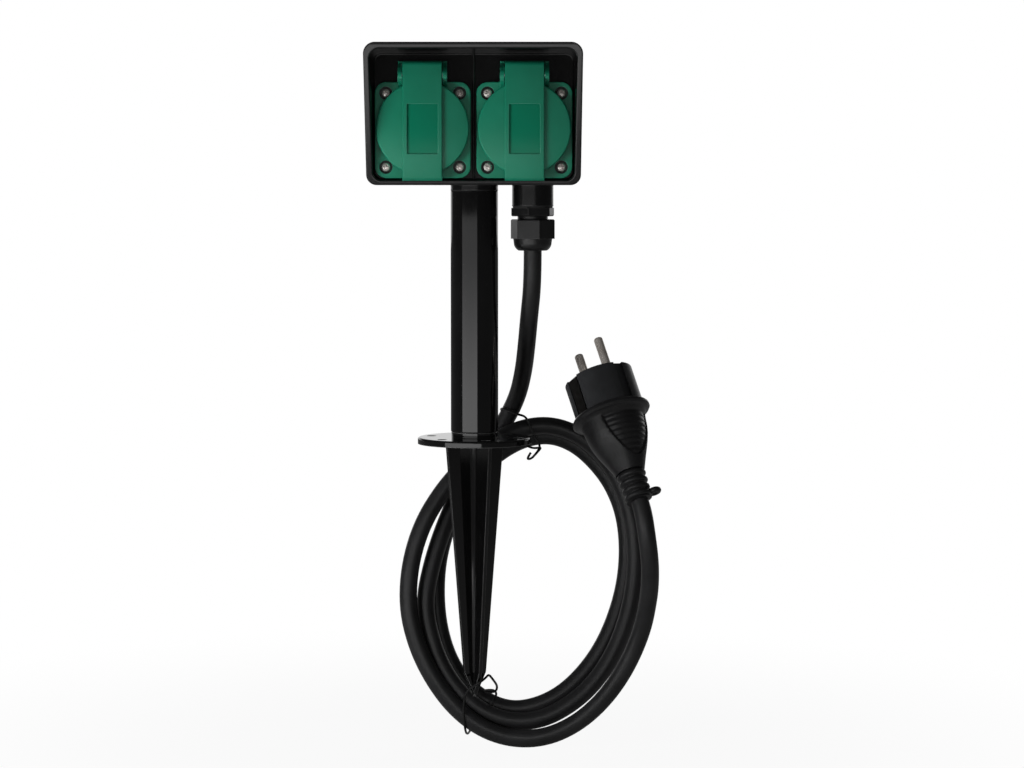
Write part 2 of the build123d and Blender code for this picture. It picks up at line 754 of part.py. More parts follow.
    with BuildPart() as centre_screw:
        with BuildSketch(front(floor_front)):
            with Locations((x, socket_height)):
                Circle(screw_head_radius)
        extrude(amount=screw_head_height)
        fillet(centre_screw.faces().sort_by(Axis.Y)[0].edges(), 0.6)
        with BuildSketch(front(floor_front)):
            with Locations((x, socket_height)):
                Circle(screw_radius)
        extrude(amount=-14)
        with BuildSketch(front(floor_front + screw_head_height - 0.9)):
            with Locations((x, socket_height)):
                Rectangle(3, 0.7)
                Rectangle(0.7, 3)
        extrude(amount=1, mode=Mode.SUBTRACT)
    finish(centre_screw, f"{side}_centre_screw")

# Cable gland: body screwed into the boss, with a washer, and a cap nut over a rubber seal
gland_places = [(gland_x, 0)]
seal_bottom = nut_bottom + 2.2
seal_top = nut_shoulder + 3.0

with BuildPart() as gland_washer:
    with BuildSketch(Plane.XY.offset(gland_hex_top)):
        with Locations(*gland_places):
            Circle(boss_radius - 0.4)
            Circle(thread_radius + 0.05, mode=Mode.SUBTRACT)
    extrude(amount=boss_bottom - gland_hex_top)
finish(gland_washer, "gland_washer")

with BuildPart() as gland_body:
    with BuildSketch(Plane.XY.offset(gland_hex_bottom)):
        with Locations(*gland_places):
            RegularPolygon(gland_across_flats / 2, 6, major_radius=False, rotation=gland_body_turn)
    extrude(amount=gland_hex_top - gland_hex_bottom)
    chamfer(gland_body.faces().sort_by(Axis.Z)[0].edges(), 0.5)
    with BuildSketch(Plane.XY.offset(seal_top)):
        with Locations(*gland_places):
            Circle(thread_radius)
    extrude(amount=housing_bottom + housing_wall - seal_top)
    with BuildSketch(Plane.XY.offset(seal_top)):
        with Locations(*gland_places):
            Circle(gland_bore)
    extrude(amount=housing_bottom + housing_wall - seal_top, mode=Mode.SUBTRACT)
finish(gland_body, "gland_body")

with BuildPart() as gland_nut:
    with BuildSketch(Plane.XY.offset(nut_shoulder)):
        with Locations(*gland_places):
            RegularPolygon(gland_across_flats / 2, 6, major_radius=False, rotation=gland_nut_turn)
    extrude(amount=nut_top - nut_shoulder)
    chamfer(gland_nut.faces().sort_by(Axis.Z)[-1].edges(), 0.5)
    with BuildSketch(Plane.XZ):
        with BuildLine():
            Polyline(
                (gland_x, nut_shoulder), (gland_x + gland_across_flats / 2, nut_shoulder),
                (gland_x + gland_across_flats / 2 - 0.3, nut_shoulder - 2.2))
            ThreePointArc(
                (gland_x + gland_across_flats / 2 - 0.3, nut_shoulder - 2.2),
                (gland_x + 9.2, nut_bottom + 1.6), (gland_x + 7.5, nut_bottom))
            Polyline(
                (gland_x + 7.5, nut_bottom), (gland_x, nut_bottom), (gland_x, nut_shoulder))
        make_face()
    revolve(axis=Axis((gland_x, 0, 0), (0, 0, 1)))
    with BuildSketch(Plane.XY.offset(seal_bottom)):
        with Locations(*gland_places):
            Circle(thread_radius + 0.05)
    extrude(amount=nut_top - seal_bottom, mode=Mode.SUBTRACT)
    with BuildSketch(Plane.XY.offset(nut_bottom)):
        with Locations(*gland_places):
            Circle(gland_bore)
    extrude(amount=seal_bottom - nut_bottom, mode=Mode.SUBTRACT)
finish(gland_nut, "gland_nut")

with BuildPart() as gland_seal:
    with BuildSketch(Plane.XY.offset(seal_bottom)):
        with Locations(*gland_places):
            Circle(thread_radius)
            Circle(cable_radius + 0.02, mode=Mode.SUBTRACT)
    extrude(amount=seal_top - seal_bottom)
finish(gland_seal, "gland_seal")

# The stretch of the cable that the gland clamps, up to where its sheath ends in the housing
sheath_end = housing_bottom + housing_wall + 1.5
with BuildPart() as cable_inlet:
    with BuildSketch(Plane.XY.offset(nut_bottom)):
        with Locations(*gland_places):
            Circle(cable_radius)
    extrude(amount=sheath_end - nut_bottom)
finish(cable_inlet, "cable_inlet")

# Wires from the end of the sheath to the right socket, and on from it to the left one
wire_radius = 1.2
left_x, right_x = (place[1] for place in socket_places)
block_middle = -carrier_back + block_length / 2
block_bottom = socket_height - block_half
block_face = -carrier_back + block_length
live, neutral = -pin_spacing / 2, pin_spacing / 2
clip_tail_end = -floor_back + clip_thickness + 10
clip_tail_height = socket_height + clip_reach
turn_height = sheath_end + 4.5
wire_runs = {
    "live_wires": [
        [(gland_x - 1.6, 1, sheath_end), (gland_x - 1.6, 1, sheath_end + 3), (gland_x - 5, 8, turn_height),
         (right_x + live, block_middle, turn_height + 4), (right_x + live, block_middle, block_bottom)],
        [(right_x + live, block_face, socket_height), (right_x + live, block_face + 2.5, socket_height),
         (right_x + live - 3, block_face + 2.5, socket_height + 4),
         (left_x + live + 3, block_face + 2.5, socket_height + 4),
         (left_x + live, block_face + 2.5, socket_height), (left_x + live, block_face, socket_height)],
    ],
    "neutral_wires": [
        [(gland_x + 1.6, 1, sheath_end), (gland_x + 1.6, 1, sheath_end + 3), (gland_x + 4, 8, turn_height),
         (right_x + neutral + 1.5, block_middle, turn_height + 4),
         (right_x + neutral + 1.5, block_middle, block_bottom)],
        [(right_x + neutral - 1.5, block_middle, block_bottom),
         (right_x + neutral - 1.5, block_middle, socket_height - 7),
         (right_x + neutral - 4.5, block_face + 2.2, socket_height - 9.5),
         (left_x + neutral + 3, block_face + 2.2, socket_height - 9.5),
         (left_x + neutral, block_middle, socket_height - 7), (left_x + neutral, block_middle, block_bottom)],
    ],
    "earth_wires": [
        [(gland_x, -1.8, sheath_end), (gland_x, -1.8, sheath_end + 2.6), (gland_x - 8, -4, turn_height - 0.8),
         (4, 0, turn_height + 2), (1.5, 0, turn_height + 15), (1.5, 0, clip_tail_height),
         (7, clip_tail_end - 2, clip_tail_height + 2.5),
         (right_x - 6, clip_tail_end + 3.5, clip_tail_height),
         (right_x - 1, clip_tail_end + 3.5, clip_tail_height),
         (right_x - 1, clip_tail_end, clip_tail_height)],
        [(right_x + 1, clip_tail_end, clip_tail_height),
         (right_x + 1, clip_tail_end + 3.5, clip_tail_height),
         (right_x - 2, clip_tail_end + 4, clip_tail_height + 6),
         (left_x + 3, clip_tail_end + 4, clip_tail_height + 6),
         (left_x, clip_tail_end + 3.5, clip_tail_height), (left_x, clip_tail_end, clip_tail_height)],
    ],
}
for name, runs in wire_runs.items():
    with BuildPart() as wires:
        for points in runs:
            tube([Vector(*point) for point in points], wire_radius, largest_bend=4)
    finish(wires, name)

# The coil's turns, then its free end, which rises to the plug
quarter_turns = int((loop_end - loop_start) / 0.25)
coil_turns = [loop_start + 0.25 * k for k in range(quarter_turns + 1)]
cable_width = 2 * cable_radius
coil_start = loop_place(coil_turns[0])
with BuildPart() as cable_coil:
    with BuildLine() as path:
        start_way, turn_way = wound(loop_place, coil_turns)
        biarc(loop_place(coil_turns[-1]), turn_way, plug_exit - plug_axis * cable_width, plug_axis)
        Line(plug_exit - plug_axis * cable_width, plug_exit)
        Line(coil_start - start_way * cable_width, coil_start)
    coil_path = path.wires()[0]
    with BuildSketch(Plane(origin=coil_start - start_way * cable_width, z_dir=start_way)):
        Circle(cable_radius)
    sweep(path=coil_path)
finish(cable_coil, "cable_coil")

# The lead from the gland down to the coil, as chosen points. The upper ones keep their share of
# the drop to where it meets the bundle
lead_end = coil_start - start_way * cable_width
meeting_height = 20.5
lead_drop = nut_bottom - meeting_height
lead_way = [
    (gland_x, 0, 1), (gland_x, 0, 0.792), (29.6, 5.8, 0.571), (28.1, 16.8, 0.375), (25.8, 29.4, 0.19)]
lead_points = [
    *(Vector(x, y, meeting_height + share * lead_drop) for x, y, share in lead_way),
    Vector(22.0, 41.0, meeting_height),
    Vector(14.0, 50.2, 4),
    Vector(3.6, 53.4, -12),
    lead_end - start_way * 17,
    lead_end,
]
with BuildPart() as cable_lead:
    lead_length = tube(lead_points, cable_radius)
finish(cable_lead, "cable_lead")
print("lead radii", [round(radius, 1) for radius in corner_radii(lead_points)])
print("lead volume over section times length",
      round(cable_lead.part.volume / (pi * cable_radius**2 * lead_length), 4))
print("coil volume over section times length",
      round(cable_coil.part.volume / (pi * cable_radius**2 * coil_path.length), 4))
print("lead, coil and whole length", round(lead_length), round(coil_path.length),
      round(lead_length + coil_path.length))

# The coil's least gap to itself, between points more than 60 mm apart along it
samples = 700
coil_points = [coil_path.position_at(k / samples) for k in range(samples + 1)]
step = coil_path.length / samples
apart = int(60 / step)
least_gap = min(
    (coil_points[i] - coil_points[j]).length
    for i in range(samples + 1) for j in range(i + apart, samples + 1)) - cable_width
print("coil's least gap to itself", round(least_gap, 2))

# Plug, standing on the free end of the cable and leaning away from the viewer
pin_line = (plug_pin_line - plug_axis * plug_pin_line.dot(plug_axis)).normalized()
plug_face_centre = plug_exit + plug_axis * plug_length
relief_top = -plug_length + relief_length
collar_middle = -plug_front_length - plug_collar_thickness / 2


def plug_plane(height):
    """Square to the plug's axis, at this height above its face, with X along its two pins."""
    return Plane(origin=plug_face_centre + plug_axis * height, x_dir=pin_line, z_dir=plug_axis)


plug_side = Plane(origin=plug_face_centre, x_dir=pin_line, z_dir=pin_line.cross(plug_axis))
plug_line = Axis(plug_face_centre, plug_axis)

with BuildPart() as plug_body:
    with BuildSketch(plug_side):
        with BuildLine():
            Polyline((0, -plug_length), (6.8, -plug_length), (7.5, relief_top))
            Spline(
                (7.5, relief_top), (9.4, relief_top + 6), (13.6, relief_top + 15),
                (17.0, relief_top + 24), (18.0, -plug_front_length - plug_collar_thickness - 3))
            Polyline(
                (18.0, -plug_front_length - plug_collar_thickness - 3),
                (plug_collar_radius - 0.6, -plug_front_length - plug_collar_thickness),
                (plug_collar_radius, collar_middle),
                (plug_collar_radius - 0.8, -plug_front_length),
                (0, -plug_front_length), (0, -plug_length))
        make_face()
    revolve(axis=plug_line)
    # Small eye that sticks out of the end of the strain relief
    with BuildSketch(plug_plane(-plug_length)):
        with Locations((5.5, -5.5)):
            Rectangle(7, 7)
    extrude(amount=3.2)
finish(plug_body, "plug_body")

# Front of the plug: a round insert with a groove for each pin side and for each earth contact
with BuildPart() as plug_face:
    with BuildSketch(plug_plane(-plug_front_length)):
        Circle(plug_front_radius)
        with Locations((plug_front_radius, 0), (-plug_front_radius, 0)):
            Rectangle(3.6, 5.6, mode=Mode.SUBTRACT)
        with Locations((0, plug_front_radius), (0, -plug_front_radius)):
            Rectangle(8.4, 3, mode=Mode.SUBTRACT)
    extrude(amount=plug_front_length)
    with BuildSketch(plug_plane(-plug_front_length)):
        with Locations((pin_spacing / 2, 0), (-pin_spacing / 2, 0)):
            Circle(plug_pin_radius + 0.02)
    extrude(amount=plug_front_length, mode=Mode.SUBTRACT)
finish(plug_face, "plug_face")

with BuildPart() as plug_pins:
    with BuildSketch(plug_plane(-plug_front_length)):
        with Locations((pin_spacing / 2, 0), (-pin_spacing / 2, 0)):
            Circle(plug_pin_radius)
    extrude(amount=plug_front_length + plug_pin_length)
    tips = plug_pins.faces().filter_by(GeomType.PLANE).sort_by(plug_line)[-2:]
    fillet(tips.edges(), 1.2)
finish(plug_pins, "plug_pins")

with BuildPart() as plug_earth_contacts:
    with BuildSketch(plug_plane(-plug_front_length)):
        with Locations((0, plug_front_radius - 1), (0, -plug_front_radius + 1)):
            Rectangle(6.6, 1)
    extrude(amount=plug_front_length - 1)
finish(plug_earth_contacts, "plug_earth_contacts")

# Wire ties: each goes once round its bundle, and its two ends are turned aside as a tail
tie_wire_radius = 0.65
upper_tie_plane = Plane(origin=(19.8, 0, 9.5), x_dir=(0.707, 0, -0.707), z_dir=(-0.707, 0, -0.707))
upper_tie_points = [
    (20, 24), (16.4, 28.6), (8, 28.8), (0, 30.4), (-8, 36.2), (-10.6, 42), (-10, 48.8), (-3, 52.6),
    (7, 53.6), (18, 53), (22.6, 46), (20.8, 38), (18.8, 29.6), (22, 24.2),
]
lower_tie_plane = Plane(origin=(-5.8, 0, -136.5), x_dir=(0.707, 0, 0.707), z_dir=(0.707, 0, -0.707))
lower_tie_points = [
    (19, -8.5), (14, -5.8), (6, -5.4), (-3, -1.4), (-11.5, 0.8), (-16.2, 5.8), (-14.8, 14), (-5, 28.8),
    (2, 32), (9.4, 30.6), (12.4, 20), (18.5, 3), (19, -4), (21.5, -9),
]
for name, plane, points in [
    ("upper_tie", upper_tie_plane, upper_tie_points), ("lower_tie", lower_tie_plane, lower_tie_points)]:
    with BuildPart() as tie:
        tube([plane.origin + plane.x_dir * u + Vector(0, y, 0) for u, y in points],
             tie_wire_radius, largest_bend=4)
    finish(tie, name)
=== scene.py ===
import bpy
import bmesh
import json
from math import cos, pi, radians, sin
from mathutils import Matrix, Vector


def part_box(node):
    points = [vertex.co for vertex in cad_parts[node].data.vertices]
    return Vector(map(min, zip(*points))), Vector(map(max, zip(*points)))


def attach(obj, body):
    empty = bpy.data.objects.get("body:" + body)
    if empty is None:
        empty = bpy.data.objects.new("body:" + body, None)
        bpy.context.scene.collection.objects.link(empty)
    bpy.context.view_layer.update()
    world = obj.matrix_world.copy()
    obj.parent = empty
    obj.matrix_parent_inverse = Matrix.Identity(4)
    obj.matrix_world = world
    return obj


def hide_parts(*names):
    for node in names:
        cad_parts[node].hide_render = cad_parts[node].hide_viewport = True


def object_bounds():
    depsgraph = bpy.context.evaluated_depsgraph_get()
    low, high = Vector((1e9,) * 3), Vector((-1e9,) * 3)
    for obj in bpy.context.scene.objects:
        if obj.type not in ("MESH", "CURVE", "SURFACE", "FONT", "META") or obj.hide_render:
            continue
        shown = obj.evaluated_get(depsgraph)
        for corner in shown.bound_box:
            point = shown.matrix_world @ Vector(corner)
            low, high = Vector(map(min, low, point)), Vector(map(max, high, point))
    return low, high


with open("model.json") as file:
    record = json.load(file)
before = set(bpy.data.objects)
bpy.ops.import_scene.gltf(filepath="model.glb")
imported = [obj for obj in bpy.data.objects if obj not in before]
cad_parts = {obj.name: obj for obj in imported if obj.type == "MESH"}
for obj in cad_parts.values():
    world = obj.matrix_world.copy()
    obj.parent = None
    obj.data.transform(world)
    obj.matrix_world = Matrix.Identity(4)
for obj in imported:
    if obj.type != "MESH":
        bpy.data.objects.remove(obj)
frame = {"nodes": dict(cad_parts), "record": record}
nodes = frame["nodes"]
cadBox = [list(corner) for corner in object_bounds()]
scene = bpy.context.scene
print("frame loaded:", len(nodes), "nodes")

# The camera stands where the photograph was taken from
shot = {"place": (0.0198, -1.5, 0.1363), "pitchDown": 4.0, "focalPixels": 2846.0,
        "imageWidth": 1024.0, "sensorWidth": 36.0}

camera = bpy.data.objects.new("camera", bpy.data.cameras.new("camera"))
camera.data.sensor_width = shot["sensorWidth"]
camera.data.lens = shot["focalPixels"] / shot["imageWidth"] * shot["sensorWidth"]
camera.location = shot["place"]
camera.rotation_euler = (radians(90 - shot["pitchDown"]), 0, 0)
scene.collection.objects.link(camera)
scene.camera = camera
scene.view_settings.view_transform = "Standard"


# Corners of hard plastic look rounded, and the outer ones are lighter in colour: partly wear, partly a
# painted highlight
cornerLook = {"samples": 8, "corner": 0.55, "flat": 0.95, "dulls": 0.15}


class Wire:  # an output socket that can stand in a sum
    def __init__(self, finish, socket):
        self.finish = finish
        self.socket = socket

    def maths(self, operation, *values):
        return self.finish.put("ShaderNodeMath", {"operation": operation}, dict(enumerate(values)))

    def __add__(self, other):
        return self.maths("ADD", self, other)

    def __radd__(self, other):
        return self.maths("ADD", other, self)

    def __sub__(self, other):
        return self.maths("SUBTRACT", self, other)

    def __rsub__(self, other):
        return self.maths("SUBTRACT", other, self)

    def __mul__(self, other):
        return self.maths("MULTIPLY", self, other)

    def __rmul__(self, other):
        return self.maths("MULTIPLY", other, self)

    def smooth(self, low, high):  # 0 below low, 1 above high
        return self.finish.put(
            "ShaderNodeMapRange", {"interpolation_type": "SMOOTHSTEP"},
            {"Value": self, "From Min": low, "From Max": high})

    def within(self, low, high, edge):  # 1 between low and high, 0 outside them
        return self.smooth(low - edge, low + edge) * (1 - self.smooth(high - edge, high + edge))


class Finish:  # a material, or the world, and the one method that makes its nodes
    def __init__(self, name, owner=None, shader="Principled BSDF"):
        self.owner = owner or bpy.data.materials.new(name)
        self.owner.use_nodes = True
        self.tree = self.owner.node_tree
        self.shader = self.tree.nodes[shader]

    def put(self, kind, settings, inputs, output=0):
        node = self.tree.nodes.new(kind)
        for key, value in settings.items():
            setattr(node, key, value)
        for key, value in inputs.items():
            self.join(node.inputs[key], value)
        return Wire(self, node.outputs[output])

    def join(self, socket, value):
        if isinstance(value, Wire):
            self.tree.links.new(value.socket, socket)
        else:
            socket.default_value = value

    def set(self, **values):  # the shader's own sockets, named without spaces
        names = {socket.name.replace(" ", ""): socket for socket in self.shader.inputs}
        for key, value in values.items():
            self.join(names[key], value)

    def place(self, stretch=(1, 1, 1)):
        here = self.put("ShaderNodeTexCoord", {}, {}, "Object")
        return self.put("ShaderNodeMapping", {}, {"Vector": here, "Scale": stretch})

    def noise(self, scale, detail, stretch=(1, 1, 1)):
        return self.put("ShaderNodeTexNoise", {},
                        {"Vector": self.place(stretch), "Scale": scale, "Detail": detail}, "Fac")

    def mixed(self, factor, first, second):  # colours
        return self.put("ShaderNodeMix", {"data_type": "RGBA"}, {0: factor, 6: first, 7: second}, 2)

    def axes(self):
        here = self.put("ShaderNodeTexCoord", {}, {}, "Object")
        return [self.put("ShaderNodeSeparateXYZ", {}, {0: here}, axis) for axis in "XYZ"]

    def rounded(self, edge):  # normals that turn round a corner over this radius
        return self.put("ShaderNodeBevel", {"samples": cornerLook["samples"]}, {"Radius": edge})

    # Mask of the lighter outer corners: partly wear, partly a painted highlight
    def worn(self, edge):  # 1 on an outer corner, 0 on a flat
        thickness = self.put("ShaderNodeAmbientOcclusion",
                             {"samples": cornerLook["samples"], "inside": True, "only_local": True},
                             {"Distance": edge}, "AO")
        return 1 - thickness.smooth(cornerLook["corner"], cornerLook["flat"])

    def bump(self, height, depth, rounded=None):
        inputs = {"Height": height, "Distance": depth}
        if rounded:
            inputs["Normal"] = rounded
        normal = self.put("ShaderNodeBump", {}, inputs, "Normal")
        self.set(Normal=normal)
        return normal

    def show(self, shader):  # in place of the material's own shader
        self.join(self.tree.nodes["Material Output"].inputs["Surface"], shader)

    def mixIn(self, share, shader):  # over the material's own shader
        own = Wire(self, self.shader.outputs["BSDF"])
        self.show(self.put("ShaderNodeMixShader", {}, {0: share, 1: own, 2: shader}))


def colour(red, green, blue):
    return (red, green, blue, 1.0)


# Moulded plastics and rubbers: a colour that clouds a little, a fine grain, and on some a lighter outer
# edge, partly wear and partly a painted highlight
moulded = {"cloudDetail": 4.0, "grainDetail": 2.0, "dark": 0.3, "light": 0.7, "grainRough": 0.06}
looks = {
    "housing_plastic": {"dark": colour(0.0014, 0.0014, 0.0015), "light": colour(0.0028, 0.0028, 0.0029),
                        "rough": 0.2, "spread": 0.08, "grain": 2600, "depth": 0.00001, "cloud": 45,
                        "shine": 0.5, "edge": 0.0009, "worn": colour(0.012, 0.012, 0.012)},
    "gland_nylon": {"dark": colour(0.004, 0.004, 0.0042), "light": colour(0.0065, 0.0065, 0.0068),
                    "rough": 0.3, "spread": 0.1, "grain": 3000, "depth": 0.00002, "cloud": 90,
                    "shine": 0.5, "edge": 0.0004, "worn": colour(0.03, 0.03, 0.03)},
    "spike_plastic": {"dark": colour(0.0016, 0.0016, 0.0017), "light": colour(0.003, 0.003, 0.0031),
                      "rough": 0.06, "spread": 0.02, "grain": 700, "depth": 0.000001, "cloud": 30,
                      "shine": 0.5, "edge": 0.0005, "worn": colour(0.10, 0.10, 0.10)},
    "seal_rubber": {"dark": colour(0.010, 0.010, 0.010), "light": colour(0.018, 0.018, 0.018),
                    "rough": 0.6, "spread": 0.12, "grain": 3500, "depth": 0.00004, "cloud": 120,
                    "shine": 0.3},
    "cable_rubber": {"dark": colour(0.009, 0.009, 0.0094), "light": colour(0.014, 0.014, 0.0147),
                     "rough": 0.40, "spread": 0.14, "grain": 4200, "depth": 0.00003, "cloud": 60,
                     "shine": 0.4},
    "plug_rubber": {"dark": colour(0.007, 0.007, 0.0073), "light": colour(0.011, 0.011, 0.0115),
                    "rough": 0.34, "spread": 0.12, "grain": 4200, "depth": 0.00004, "cloud": 80,
                    "shine": 0.4},
    "plug_plastic": {"dark": colour(0.014, 0.0145, 0.0155), "light": colour(0.020, 0.0205, 0.022),
                     "rough": 0.36, "spread": 0.1, "grain": 3600, "depth": 0.00003, "cloud": 80,
                     "shine": 0.4},
    "carrier_plastic": {"dark": colour(0.24, 0.23, 0.21), "light": colour(0.33, 0.32, 0.30),
                        "rough": 0.5, "spread": 0.1, "grain": 2400, "depth": 0.00004, "cloud": 140,
                        "shine": 0.4},
    "live_insulation": {"dark": colour(0.085, 0.032, 0.015), "light": colour(0.12, 0.05, 0.025),
                        "rough": 0.4, "spread": 0.1, "grain": 3600, "depth": 0.00002, "cloud": 160,
                        "shine": 0.4},
    "neutral_insulation": {"dark": colour(0.02, 0.07, 0.32), "light": colour(0.035, 0.1, 0.42),
                           "rough": 0.4, "spread": 0.1, "grain": 3600, "depth": 0.00002, "cloud": 160,
                           "shine": 0.4},
    "tie_coating": {"dark": colour(0.004, 0.004, 0.004), "light": colour(0.008, 0.008, 0.008),
                    "rough": 0.3, "spread": 0.1, "grain": 5000, "depth": 0.00002, "cloud": 300,
                    "shine": 0.45},
}


def mouldedFinish(name):
    look = looks[name]
    finish = Finish(name)
    cloud = finish.noise(look["cloud"], moulded["cloudDetail"])
    grain = finish.noise(look["grain"], moulded["grainDetail"])
    tone = finish.mixed(cloud.smooth(moulded["dark"], moulded["light"]), look["dark"], look["light"])
    rough = look["rough"] + look["spread"] * (cloud - 0.5) + moulded["grainRough"] * (grain - 0.5)
    rounded = finish.rounded(look["edge"]) if "edge" in look else None
    if rounded:
        # Outer corners lighter in colour: partly wear, partly a painted highlight; the duller roughness
        # there is wear
        worn = finish.worn(look["edge"])
        tone = finish.mixed(worn, tone, look["worn"])
        rough = rough + cornerLook["dulls"] * worn
    finish.set(BaseColor=tone, Roughness=rough, SpecularIORLevel=look["shine"])
    finish.bump(grain, look["depth"], rounded)
    return finish.owner


# Green of the sockets: textured covers, and smooth windows that are deeper in colour
green = {"deep": colour(0.0030, 0.148, 0.080), "face": colour(0.003, 0.150, 0.082),
         "pale": colour(0.005, 0.175, 0.100), "shade": colour(0.0015, 0.003, 0.0025),
         "worn": colour(0.05, 0.24, 0.17), "cloud": 38, "dark": 0.25, "light": 0.75,
         "rough": 0.38, "smoothRough": 0.2, "spread": 0.1, "shine": 0.5, "windowShine": 0.15,
         "grain": 2800, "depth": 0.00005, "windowGrain": 0.2, "edge": 0.0003,
         "dome": 4.6, "domeFront": -0.0285, "domeEdge": 0.0002,
         "socketX": 0.02625, "windowHeight": 0.165, "windowHalf": (0.008, 0.01285), "windowLine": 0.0002,
         "windowFloor": -0.0331, "floorHalf": 0.0004, "floorEdge": 0.0001,
         "screwOff": 0.019, "screwHeight": 0.1645, "ring": 0.0034, "ringEdge": 0.0001,
         "flangeFront": -0.027, "recess": (0.0001, 0.0006)}


def windowMask(across, y, z):
    halfWidth, halfHeight = green["windowHalf"]
    line, floor, half = green["windowLine"], green["windowFloor"], green["floorHalf"]
    return (across.within(-halfWidth, halfWidth, line)
            * z.within(green["windowHeight"] - halfHeight, green["windowHeight"] + halfHeight, line)
            * y.within(floor - half, floor + half, green["floorEdge"]))


# Painted shade: the floor of each flange screw's recess is darkened to a dark ring
def recessShadeMask(across, y, z):  # the dark ring round each flange screw
    sideways = across.maths("ABSOLUTE", across) - green["screwOff"]
    height = z - green["screwHeight"]
    upwards = height.maths("ABSOLUTE", height) - green["screwOff"]
    ringed = 1 - (sideways * sideways + upwards * upwards).smooth(
        (green["ring"] - green["ringEdge"]) ** 2, green["ring"] ** 2)
    shallow, deep = (green["flangeFront"] + depth for depth in green["recess"])
    return ringed * y.smooth(shallow, deep)


def greenFinish():
    finish = Finish("socket_plastic")
    x, y, z = finish.axes()
    cloud = finish.noise(green["cloud"], moulded["cloudDetail"])
    grain = finish.noise(green["grain"], moulded["grainDetail"])
    across = x.maths("ABSOLUTE", x) - green["socketX"]
    window = windowMask(across, y, z)
    face = finish.mixed(cloud.smooth(green["dark"], green["light"]), green["face"], green["pale"])
    # Painted shade round the flange screws, in the near-black shade colour
    face = finish.mixed(recessShadeMask(across, y, z), face, green["shade"])
    # Lighter green outer corners: partly wear, partly a painted highlight along the lid and flange edges
    face = finish.mixed(finish.worn(green["edge"]), face, green["worn"])
    tone = finish.mixed(window, face, green["deep"])
    smoother = (green["rough"] - green["smoothRough"]) * window
    rough = green["rough"] + green["spread"] * (cloud - 0.5) - smoother
    # The lids' covers are slightly domed
    up = z - green["windowHeight"]
    cover = 1 - y.smooth(green["domeFront"] - green["domeEdge"], green["domeFront"])
    dome = (across * across + up * up) * cover
    relief = green["depth"] * grain * (1 - (1 - green["windowGrain"]) * window)
    normal = finish.bump(relief - green["dome"] * dome, 1.0, finish.rounded(green["edge"]))
    finish.set(BaseColor=tone, Roughness=rough, SpecularIORLevel=green["shine"])
    # The windows mirror less than the covers
    finish.mixIn(window, finish.put(
        "ShaderNodeBsdfPrincipled", {},
        {"Base Color": tone, "Roughness": rough, "Specular IOR Level": green["windowShine"],
         "Normal": normal}, "BSDF"))
    return finish.owner


# Earth wires: green sleeving with yellow bands that run round it
earth = {"green": colour(0.03, 0.22, 0.04), "yellow": colour(0.62, 0.50, 0.02), "bands": 90.0,
         "waver": 0.6, "bandEdges": (0.45, 0.6), "grain": 3600, "depth": 0.00002,
         "rough": 0.38, "grainRough": 0.08}


def earthFinish():
    finish = Finish("earth_insulation")
    stripe = finish.put("ShaderNodeTexWave", {"bands_direction": "DIAGONAL"},
                        {"Vector": finish.place(), "Scale": earth["bands"], "Distortion": earth["waver"]},
                        "Fac")
    grain = finish.noise(earth["grain"], moulded["grainDetail"])
    banded = finish.mixed(stripe.smooth(*earth["bandEdges"]), earth["green"], earth["yellow"])
    finish.set(BaseColor=banded,
               Roughness=earth["rough"] + earth["grainRough"] * (grain - 0.5))
    finish.bump(grain, earth["depth"])
    return finish.owner


# Metals: fine turning or drawing marks, and a tarnish that dulls them in patches
tarnish = {"scale": 220, "detail": 5.0, "tint": (0.42, 0.72), "dull": (0.4, 0.8), "rough": 0.16,
           "marksDetail": 2.0, "marksRough": 0.05}
metals = {
    "screw_steel": {"bright": colour(0.78, 0.74, 0.70), "dull": colour(0.50, 0.46, 0.43),
                    "rough": 0.2, "marks": 2400, "stretch": (1, 1, 1), "depth": 0.00001, "metal": 0.7},
    "hinge_steel": {"bright": colour(0.62, 0.62, 0.61), "dull": colour(0.42, 0.42, 0.42),
                    "rough": 0.26, "marks": 1800, "stretch": (0.2, 1, 1), "depth": 0.00001, "metal": 1.0},
    "plug_nickel": {"bright": colour(0.80, 0.74, 0.68), "dull": colour(0.55, 0.49, 0.44),
                    "rough": 0.16, "marks": 1600, "stretch": (1, 1, 0.15), "depth": 0.000008,
                    "metal": 0.75},
    # Nickel darkened as painted shade, for the plug's earth strips
    "shade_painted_nickel": {"bright": colour(0.10, 0.095, 0.09), "dull": colour(0.06, 0.056, 0.052),
                    "rough": 0.3, "marks": 1600, "stretch": (1, 1, 0.15), "depth": 0.000008,
                    "metal": 1.0},
    "contact_brass": {"bright": colour(0.80, 0.60, 0.26), "dull": colour(0.52, 0.36, 0.13),
                      "rough": 0.28, "marks": 1500, "stretch": (1, 0.2, 1), "depth": 0.00001,
                      "metal": 1.0},
}


def metalFinish(name):
    look = metals[name]
    finish = Finish(name)
    patches = finish.noise(tarnish["scale"], tarnish["detail"])
    marks = finish.noise(look["marks"], tarnish["marksDetail"], look["stretch"])
    rough = look["rough"] + tarnish["rough"] * patches.smooth(*tarnish["dull"])
    finish.set(BaseColor=finish.mixed(patches.smooth(*tarnish["tint"]), look["bright"], look["dull"]),
               Roughness=rough + tarnish["marksRough"] * (marks - 0.5), Metallic=look["metal"])
    finish.bump(marks, look["depth"])
    return finish.owner


finishes = {name: mouldedFinish(name) for name in looks}
finishes.update({name: metalFinish(name) for name in metals})
finishes["socket_plastic"] = greenFinish()
finishes["earth_insulation"] = earthFinish()
for subpart in frame["record"]["subparts"]:
    piece = nodes[subpart["node"]]
    piece.data.materials.clear()
    piece.data.materials.append(finishes[subpart["material_slot"]])
